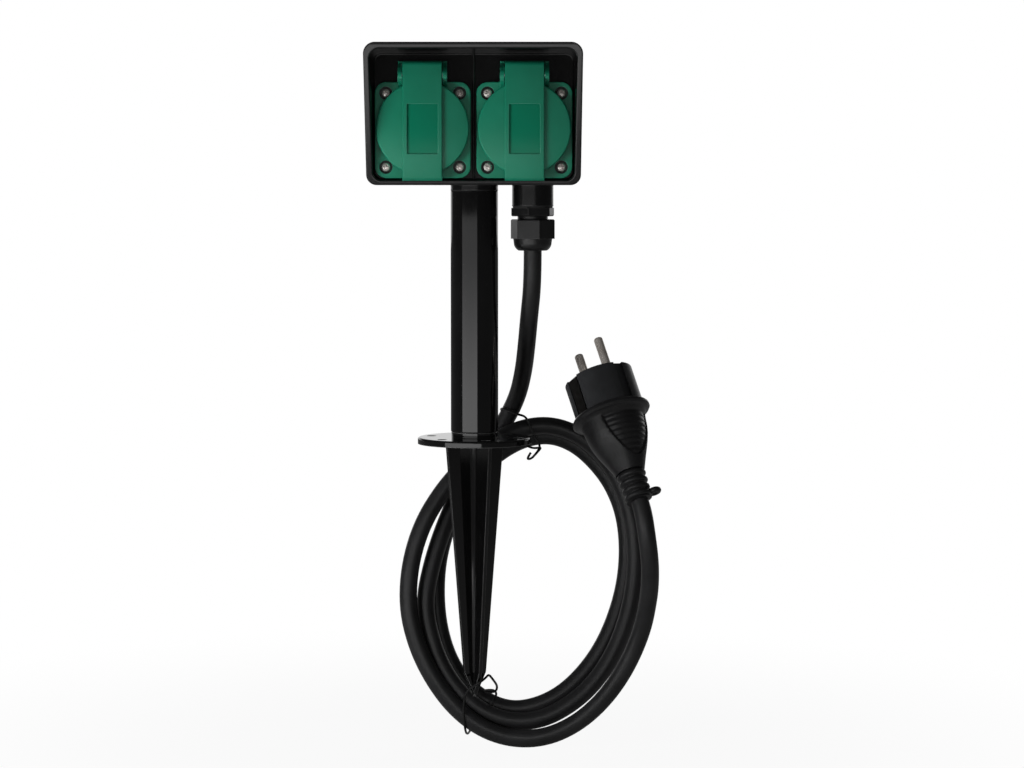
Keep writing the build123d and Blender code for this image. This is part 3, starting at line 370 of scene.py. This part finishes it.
# The plug's earth strips are rougher than its pins, and their darker colour is painted shade
nodes["plug_earth_contacts"].data.materials[0] = finishes["shade_painted_nickel"]
print("finishes:", len(finishes))


def keep(piece, slotName):  # gives a new piece its finish and its body
    if piece.name not in scene.collection.objects:
        scene.collection.objects.link(piece)
    piece.data.materials.clear()
    piece.data.materials.append(finishes[slotName])
    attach(piece, "base")
    return piece


def meshPiece(name, shape, slotName, smoothUnder):
    mesh = bpy.data.meshes.new(name)
    shape.to_mesh(mesh)
    shape.free()
    mesh.polygons.foreach_set("use_smooth", [True] * len(mesh.polygons))
    mesh.set_sharp_from_angle(angle=radians(smoothUnder))
    return keep(bpy.data.objects.new(name, mesh), slotName)


wireLine = {"order": 3, "steps": 6}


def wirePiece(name, route, radius, slotName, rings):  # smooth round wire or cable along a route
    line = bpy.data.curves.new(name, "CURVE")
    line.dimensions = "3D"
    line.bevel_depth = radius
    line.bevel_resolution = rings
    line.use_fill_caps = True
    spline = line.splines.new("NURBS")
    spline.points.add(len(route) - 1)
    for point, place in zip(spline.points, route):
        point.co = (*place, 1.0)
    spline.order_u = wireLine["order"]
    spline.use_endpoint_u = True
    spline.resolution_u = wireLine["steps"]
    return keep(bpy.data.objects.new(name, line), slotName)


# The cable: chosen points down to the coil, then the coil's turns by the loop formula.
# Nudges are pairs of a turn and how far the cable lies out of the even spiral there
cable = {"diameter": 0.0095, "rings": 8, "length": 1.333, "exit": (0.0307, 0.0, 0.1019),
         "lead": [(0.0307, 0.0, 0.1019), (0.0307, 0.0, 0.085), (0.0289, 0.0058, 0.067),
                  (0.0276, 0.0168, 0.051), (0.0260, 0.0294, 0.036), (0.0225, 0.0410, 0.0205),
                  (0.0140, 0.0502, 0.004), (0.0036, 0.0534, -0.012)],
         "beforeCoil": (0.0265, 0.0095),
         "end": [(0.0918, -0.0076, -0.0831), (0.0925, -0.0139, -0.0722), (0.0921, -0.0189, -0.0601),
                 (0.0904, -0.0203, -0.0472), (0.0886, -0.0178, -0.0346), (0.0868, -0.0150, -0.0291)]}
loop = {"centre": (0.0304, -0.0732), "half": (0.0495, 0.0710), "lean": (0.0145, -0.0117),
        "cornerPull": 0.0035, "spread": 0.00216, "spreadLean": (0.22, 0.06),
        "start": 0.22, "end": 2.72, "aimStep": 0.001, "pointsPerTurn": 24,
        "depths": [0.0610, 0.0468, 0.0370, 0.0370],
        "tilt": 0.030, "forwardFrom": 2.4, "forwardOver": 0.4, "forward": 0.030,
        "nudges": [(0.22, 0.0003), (0.303, 0.0005), (0.387, 0.0018), (0.512, 0.0017), (0.553, 0.0004),
                   (0.637, -0.0009), (0.72, -0.0009), (0.762, -0.0003), (0.845, 0.0006), (0.887, -0.0001),
                   (0.928, -0.0011), (1.012, 0.0), (1.137, 0.0008), (1.178, 0.0004), (1.22, -0.0019),
                   (1.262, -0.0009), (1.303, 0.0024), (1.345, 0.0019), (1.428, 0.0014), (1.553, 0.0014),
                   (1.595, 0.0008), (1.637, 0.0010), (1.762, 0.0), (2.095, 0.0001), (2.178, 0.0004),
                   (2.262, 0.0018), (2.303, 0.0021), (2.345, 0.0003), (2.387, -0.0013), (2.428, -0.0013),
                   (2.47, -0.0006), (2.553, 0.0011), (2.595, 0.0011), (2.678, 0.0004), (2.72, 0.0002)]}


def easing(value):
    value = min(1.0, max(0.0, value))
    return value * value * (3 - 2 * value)


def nudge(turn):  # outward shift at a turn, eased from one listed shift to the next
    for (before, first), (after, second) in zip(loop["nudges"], loop["nudges"][1:]):
        if turn <= after:
            return first + (second - first) * easing((turn - before) / (after - before))
    return loop["nudges"][-1][1]


def loopPlace(turn):
    angle = pi / 2 + 2 * pi * turn
    leanX, leanZ = loop["spreadLean"]
    spread = loop["spread"] * turn**2 * (1 - leanX * cos(angle) - leanZ * sin(angle))
    upperLeft = pi / 2 < angle % (2 * pi) < pi
    pull = loop["cornerPull"] * sin(2 * angle) ** 2 if upperLeft else 0
    halfX, halfZ = (half + spread - pull + nudge(turn) for half in loop["half"])
    whole = min(int(turn), len(loop["depths"]) - 2)
    part = turn - whole
    depth = loop["depths"][whole] * (1 - part) + loop["depths"][whole + 1] * part
    depth -= loop["tilt"] * (1 - sin(angle)) / 2
    depth -= loop["forward"] * max(0, (turn - loop["forwardFrom"]) / loop["forwardOver"]) ** 2
    return Vector((loop["centre"][0] + halfX * cos(angle) + loop["lean"][0] * sin(angle), depth,
                   loop["centre"][1] + halfZ * sin(angle) + loop["lean"][1] * cos(angle)))


coilStart = loopPlace(loop["start"])
before, after = (loopPlace(loop["start"] + step) for step in (-loop["aimStep"], loop["aimStep"]))
coilWay = (after - before).normalized()
steps = round((loop["end"] - loop["start"]) * loop["pointsPerTurn"])
turns = [loop["start"] + (loop["end"] - loop["start"]) * k / steps for k in range(steps + 1)]
cableRoute = [*cable["lead"], *(coilStart - coilWay * back for back in cable["beforeCoil"]),
              *(loopPlace(turn) for turn in turns), *cable["end"]]
cableLine = wirePiece("mains_cable", cableRoute, cable["diameter"] / 2, "cable_rubber", cable["rings"])
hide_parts("cable_lead", "cable_coil")
print("cable:", len(cableRoute), "points")

# The plug stands on the cable's end. Heights are measured from its face, down to the cable
plug = {"exit": Vector((0.0868, -0.0150, -0.0291)), "axis": Vector((-0.285, 0.4285, 0.857)).normalized(),
        "pinLine": Vector((0.53, -0.69, 0.5)), "length": 0.073,
        "outline": [(-0.0730, 0.0060), (-0.0724, 0.0074), (-0.0564, 0.0080), (-0.0545, 0.0088),
                    (-0.0500, 0.0107), (-0.0460, 0.0125), (-0.0420, 0.0142), (-0.0380, 0.0156),
                    (-0.0340, 0.0166), (-0.0300, 0.0172), (-0.0262, 0.0177), (-0.0250, 0.0188),
                    (-0.0243, 0.0205), (-0.0233, 0.0213), (-0.0222, 0.0212), (-0.0213, 0.0205),
                    (-0.0210, 0.0196), (-0.0210, 0.0100)],
        "rowHeight": 0.0004, "around": 160, "merge": 0.000002, "smoothUnder": 40.0,
        "gripTop": -0.0262, "gripApex": -0.0506, "gripHalfAngle": 58.0, "gripSink": 0.0010,
        "gripRib": 0.00024, "gripPitch": 0.00275, "ribSteep": 1.6, "ribLow": 0.3,
        "gripSideEdge": 0.05, "gripTopEdge": 0.04,
        "ringDepth": 0.0015, "ringPitch": 0.0040, "ringFirst": -0.0725, "ringCount": 4,
        "eyeRadius": 0.0024, "eyeWire": 0.0016, "eyePlace": (0.0050, 0.0072, -0.0700),
        "eyeAround": 24, "eyeWireAround": 12}

pinLine = (plug["pinLine"] - plug["axis"] * plug["pinLine"].dot(plug["axis"])).normalized()
plugFace = plug["exit"] + plug["axis"] * plug["length"]
sideLine = plug["axis"].cross(pinLine)
plugPlace = Matrix.Translation(plugFace) @ Matrix((pinLine, sideLine, plug["axis"])).transposed().to_4x4()


def along(outline, height):  # radius of an outline at a height
    for (low, first), (high, second) in zip(outline, outline[1:]):
        if low <= height <= high and high > low:
            share = (height - low) / (high - low)
            return first + (second - first) * share
    return outline[-1][1]


def gripDepth(height, angle):  # how far the ribbed grip panels lie under the round body, here
    fall = (plug["gripTop"] - height) / (plug["gripTop"] - plug["gripApex"])
    if not 0 <= fall <= 1:
        return 0.0
    off = min(abs((angle - middle + pi) % (2 * pi) - pi) for middle in (0, pi))
    reach = radians(plug["gripHalfAngle"]) * (1 - fall**2) ** 0.5
    inside = easing((reach - off) / plug["gripSideEdge"]) * easing(fall / plug["gripTopEdge"])
    rib = 0.5 - 0.5 * cos(2 * pi * (plug["gripTop"] - height) / plug["gripPitch"])
    return inside * (plug["gripSink"] + plug["gripRib"] * easing(plug["ribSteep"] * rib - plug["ribLow"]))


def ringCut(height):  # how deep the strain relief's grooves are, here
    share = (height - plug["ringFirst"]) / plug["ringPitch"]
    if not 0 <= share <= plug["ringCount"]:
        return 0.0
    return plug["ringDepth"] * (0.5 + 0.5 * cos(2 * pi * share)) ** 2


def plugBody():
    shape = bmesh.new()
    low, high = plug["outline"][0][0], plug["outline"][-1][0]
    rows = int((high - low) / plug["rowHeight"]) + 1
    heights = sorted({low + k * plug["rowHeight"] for k in range(rows)}
                     | {height for height, radius in plug["outline"]})
    corners = [shape.verts.new((along(plug["outline"], height), 0, height)) for height in heights]
    corners.append(shape.verts.new((plug["outline"][-1][1], 0, high)))
    edges = [shape.edges.new(pair) for pair in zip(corners, corners[1:])]
    bmesh.ops.spin(shape, geom=corners + edges, cent=(0, 0, 0), axis=(0, 0, 1), angle=2 * pi,
                   steps=plug["around"], use_merge=True)
    bmesh.ops.remove_doubles(shape, verts=shape.verts, dist=plug["merge"])
    for vertex in shape.verts:
        flat = Vector((vertex.co.x, vertex.co.y, 0))
        angle = flat.to_2d().angle_signed(Vector((1, 0)), 0.0)
        inward = gripDepth(vertex.co.z, angle) + ringCut(vertex.co.z)
        vertex.co -= flat.normalized() * inward
    rims = [edge for edge in shape.edges if edge.is_boundary]
    bmesh.ops.holes_fill(shape, edges=rims)
    bmesh.ops.recalc_face_normals(shape, faces=shape.faces)
    # Eye at the end of the strain relief
    ring = bmesh.ops.create_circle(
        shape, segments=plug["eyeWireAround"], radius=plug["eyeWire"],
        matrix=Matrix.Translation(plug["eyePlace"]) @ Matrix.Translation((plug["eyeRadius"], 0, 0))
        @ Matrix.Rotation(pi / 2, 4, "X"))["verts"]
    ringEdges = list({edge for vertex in ring for edge in vertex.link_edges})
    bmesh.ops.spin(shape, geom=ring + ringEdges, cent=plug["eyePlace"], axis=(0, 0, 1), angle=2 * pi,
                   steps=plug["eyeAround"], use_merge=True)
    bmesh.ops.transform(shape, matrix=plugPlace, verts=shape.verts)
    return meshPiece("plug_grip", shape, "plug_rubber", plug["smoothUnder"])


plugGrip = plugBody()
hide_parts("plug_body")
print("plug:", len(plugGrip.data.polygons), "faces")

# Flange screws: pan heads with a cross recess, where the CAD has its own
screws = {"cadRadius": 0.00275, "radius": 0.0023, "height": 0.0017, "crown": 0.0006,
          "rings": 22, "around": 64, "merge": 0.000001, "smoothUnder": 50.0, "standsProud": 0.0006,
          "sideShare": 0.55, "rimShare": 0.3, "rimPower": 12,
          "reach": 0.00135, "half": 0.00030, "slope": 0.00022, "depth": 0.0009, "cutAbove": 0.8,
          "turns": [0.3, 0.9, 0.1, 1.2, 0.6, 0.2, 1.0, 0.5]}


def screwHead(shape, middle, turn):
    radius, height, rings = screws["radius"], screws["height"], screws["rings"]
    line = [shape.verts.new((radius, 0, 0)), shape.verts.new((radius, 0, height * screws["sideShare"]))]
    for k in range(rings):
        off = 1 - k / rings
        rimFall = height * screws["rimShare"] * off ** screws["rimPower"]
        line.append(shape.verts.new((radius * off, 0, height + screws["crown"] * (1 - off**2) - rimFall)))
    line.append(shape.verts.new((0, 0, height + screws["crown"])))
    edges = [shape.edges.new(pair) for pair in zip(line, line[1:])]
    bmesh.ops.spin(shape, geom=line + edges, cent=(0, 0, 0), axis=(0, 0, 1), angle=2 * pi,
                   steps=screws["around"], use_merge=True)
    head = [vertex for vertex in shape.verts if not vertex.tag]
    for vertex in head:
        u = vertex.co.x * cos(turn) + vertex.co.y * sin(turn)
        v = vertex.co.y * cos(turn) - vertex.co.x * sin(turn)
        short, long = sorted((abs(u), abs(v)))
        sink = easing((screws["half"] + screws["slope"] - short) / screws["slope"])
        sink *= easing((screws["reach"] - long) / screws["slope"])
        if vertex.co.z > height * screws["cutAbove"]:
            vertex.co.z -= screws["depth"] * sink
    bmesh.ops.transform(shape, matrix=Matrix.Translation(middle) @ Matrix.Rotation(pi / 2, 4, "X"),
                        verts=head)
    for vertex in head:
        vertex.tag = True


for side in ("left", "right"):
    low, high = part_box(side + "_flange_screws")
    inset = screws["cadRadius"]
    shape = bmesh.new()
    for k in range(4):
        corner = (low[0] + inset if k % 2 else high[0] - inset,
                  low[1] + screws["height"] + screws["standsProud"],
                  low[2] + inset if k // 2 else high[2] - inset)
        screwHead(shape, corner, screws["turns"][k + (4 if side == "right" else 0)])
    bmesh.ops.remove_doubles(shape, verts=shape.verts, dist=screws["merge"])
    bmesh.ops.holes_fill(shape, edges=[edge for edge in shape.edges if edge.is_boundary])
    bmesh.ops.recalc_face_normals(shape, faces=shape.faces)
    panScrews = meshPiece(side + "_pan_screws", shape, "screw_steel", screws["smoothUnder"])
    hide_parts(side + "_flange_screws")
print("screws made")

# Wire ties: a loop round the bundle, and two ends twisted into a tail
ties = {"wire": 0.00062, "rings": 3,
        "upper": [(0.0299, 0.0240, -0.0072), (0.0284, 0.0236, -0.0096), (0.0282, 0.0240, -0.0108),
                  (0.0303, 0.0242, -0.0105), (0.0330, 0.0250, -0.0076), (0.0356, 0.0280, -0.0050),
                  (0.0341, 0.0310, -0.0053), (0.0313, 0.0330, -0.0057), (0.0282, 0.0380, -0.0052),
                  (0.0266, 0.0460, -0.0032), (0.0231, 0.0530, 0.0019), (0.0182, 0.0535, 0.0085),
                  (0.0146, 0.0490, 0.0129), (0.0136, 0.0430, 0.0149), (0.0152, 0.0380, 0.0154),
                  (0.0187, 0.0345, 0.0143), (0.0228, 0.0310, 0.0128), (0.0260, 0.0298, 0.0122),
                  (0.0278, 0.0292, 0.0107), (0.0292, 0.0286, 0.0073), (0.0322, 0.0280, 0.0008),
                  (0.0352, 0.0270, -0.0040), (0.0335, 0.0258, -0.0071), (0.0308, 0.0248, -0.0100)],
        "lower": [(0.0050, -0.0045, -0.1313), (0.0081, -0.0050, -0.1308), (0.0109, -0.0040, -0.1315),
                  (0.0116, -0.0010, -0.1341), (0.0104, 0.0060, -0.1378), (0.0093, 0.0140, -0.1409),
                  (0.0068, 0.0240, -0.1449), (0.0024, 0.0315, -0.1518), (-0.0020, 0.0315, -0.1578),
                  (-0.0038, 0.0240, -0.1600), (-0.0047, 0.0140, -0.1580), (-0.0051, 0.0050, -0.1547),
                  (-0.0057, 0.0026, -0.1496), (-0.0062, 0.0022, -0.1436), (-0.0058, 0.0018, -0.1376),
                  (-0.0044, -0.0020, -0.1326), (-0.0014, -0.0080, -0.1289), (0.0024, -0.0100, -0.1264),
                  (0.0058, -0.0070, -0.1242), (0.0075, -0.0020, -0.1230), (0.0097, -0.0015, -0.1260),
                  (0.0120, -0.0020, -0.1291), (0.0115, -0.0030, -0.1319), (0.0087, -0.0045, -0.1324),
                  (0.0055, -0.0055, -0.1320)]}


def tiePiece(name, which):
    piece = wirePiece(name, ties[which], ties["wire"], "tie_coating", ties["rings"])
    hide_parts(which + "_tie")
    return piece


upperTie = tiePiece("upper_wire_tie", "upper")
lowerTie = tiePiece("lower_wire_tie", "lower")

print("ties and cord set")

# Floor, lamps and world
floorLook = {"half": 12.0, "gap": 0.0006, "near": 0.10, "far": 0.45, "glow": 0.93, "tone": 0.45,
             "rough": 0.9}
lamps = [
    {"name": "key", "place": (-0.55, -0.42, -0.02), "aim": (0.0, 0.0, 0.14), "size": (0.35, 0.2),
     "watts": 4.8},
    {"name": "front", "place": (0.30, -1.20, 0.50), "aim": (0.0, 0.0, 0.05), "size": (1.0, 1.0),
     "watts": 1.6},
    {"name": "back", "place": (0.40, 1.20, 0.80), "aim": (0.0, 0.0, 0.05), "size": (1.0, 1.0),
     "watts": 6.0},
]
card = {"middle": (-0.195, -0.46, 0.0275), "turn": -23.0, "half": (0.375, 0.0875),
        "top": 0.9, "foot": 2.4, "low": -0.03, "high": 0.10}
worldLook = {"ambient": 0.2, "behind": 1.0, "before": 0.05, "from": 0.60, "to": 0.88,
             "low": 0.12, "high": 0.4}


def stagePiece(name, half, matrix, finish):
    piece = bpy.data.objects.new(name, bpy.data.meshes.new(name))
    sheet = bmesh.new()
    bmesh.ops.create_grid(sheet, x_segments=1, y_segments=1, size=1.0,
                          matrix=matrix @ Matrix.Diagonal((*half, 1, 1)))
    sheet.to_mesh(piece.data)
    sheet.free()
    piece.data.materials.append(finish.owner)
    scene.collection.objects.link(piece)
    return piece


paper = Finish("floor_paper")
x, y, z = paper.axes()
away = (x * x + y * y).maths("SQRT", x * x + y * y)
paper.set(BaseColor=colour(*[floorLook["tone"]] * 3), Roughness=floorLook["rough"], SpecularIORLevel=0.0)
seen = paper.put("ShaderNodeLightPath", {}, {}, "Is Camera Ray")
glow = paper.put("ShaderNodeEmission", {}, {"Color": colour(1, 1, 1), "Strength": 1.0}, "Emission")
share = floorLook["glow"] + (1 - floorLook["glow"]) * away.smooth(floorLook["near"], floorLook["far"])
paper.mixIn(seen * share, glow)
ground = Matrix.Translation((0, 0, cadBox[0][2] - floorLook["gap"]))
stagePiece("floor", (floorLook["half"],) * 2, ground, paper)

# A soft panel in front and to the left, brighter towards its foot, that only glossy surfaces show
panel = Finish("card_light")
x, y, z = panel.axes()
footColour, topColour = (colour(*[card[end]] * 3) for end in ("foot", "top"))
bright = panel.mixed(z.smooth(card["low"], card["high"]), footColour, topColour)
panel.show(panel.put("ShaderNodeEmission", {}, {"Color": bright, "Strength": 1.0}, "Emission"))
upright = Matrix.Rotation(radians(card["turn"]), 4, "Z") @ Matrix.Rotation(pi / 2, 4, "X")
softPanel = stagePiece("card", card["half"], Matrix.Translation(card["middle"]) @ upright, panel)
softPanel.visible_camera = False
softPanel.visible_diffuse = False
softPanel.visible_shadow = False

for lamp in lamps:
    light = bpy.data.lights.new(lamp["name"], "AREA")
    light.shape = "RECTANGLE"
    light.size, light.size_y = lamp["size"]
    light.energy = lamp["watts"]
    stand = bpy.data.objects.new(lamp["name"], light)
    stand.location = lamp["place"]
    stand.rotation_euler = (Vector(lamp["aim"]) - stand.location).to_track_quat("-Z", "Y").to_euler()
    stand.visible_camera = False
    stand.visible_glossy = False
    scene.collection.objects.link(stand)

world = bpy.data.worlds.new("world")
scene.world = world
sky = Finish("world", world, "Background")
direction = sky.put("ShaderNodeTexCoord", {}, {}, "Generated")
towardsBack = sky.put("ShaderNodeSeparateXYZ", {}, {0: direction}, "Y")
upward = sky.put("ShaderNodeSeparateXYZ", {}, {0: direction}, "Z")
cameraRay, glossyRay, clearRay = (sky.put("ShaderNodeLightPath", {}, {}, name) for name in (
    "Is Camera Ray", "Is Glossy Ray", "Is Transmission Ray"))
mirrored = (worldLook["before"] + (worldLook["behind"] - worldLook["before"])
            * towardsBack.smooth(worldLook["from"], worldLook["to"])
            * (1 - upward.smooth(worldLook["low"], worldLook["high"])))
plain = 1 - cameraRay - glossyRay - clearRay
sky.set(Color=colour(1, 1, 1),
        Strength=cameraRay + clearRay + glossyRay * mirrored + plain * worldLook["ambient"])
print("stage set")
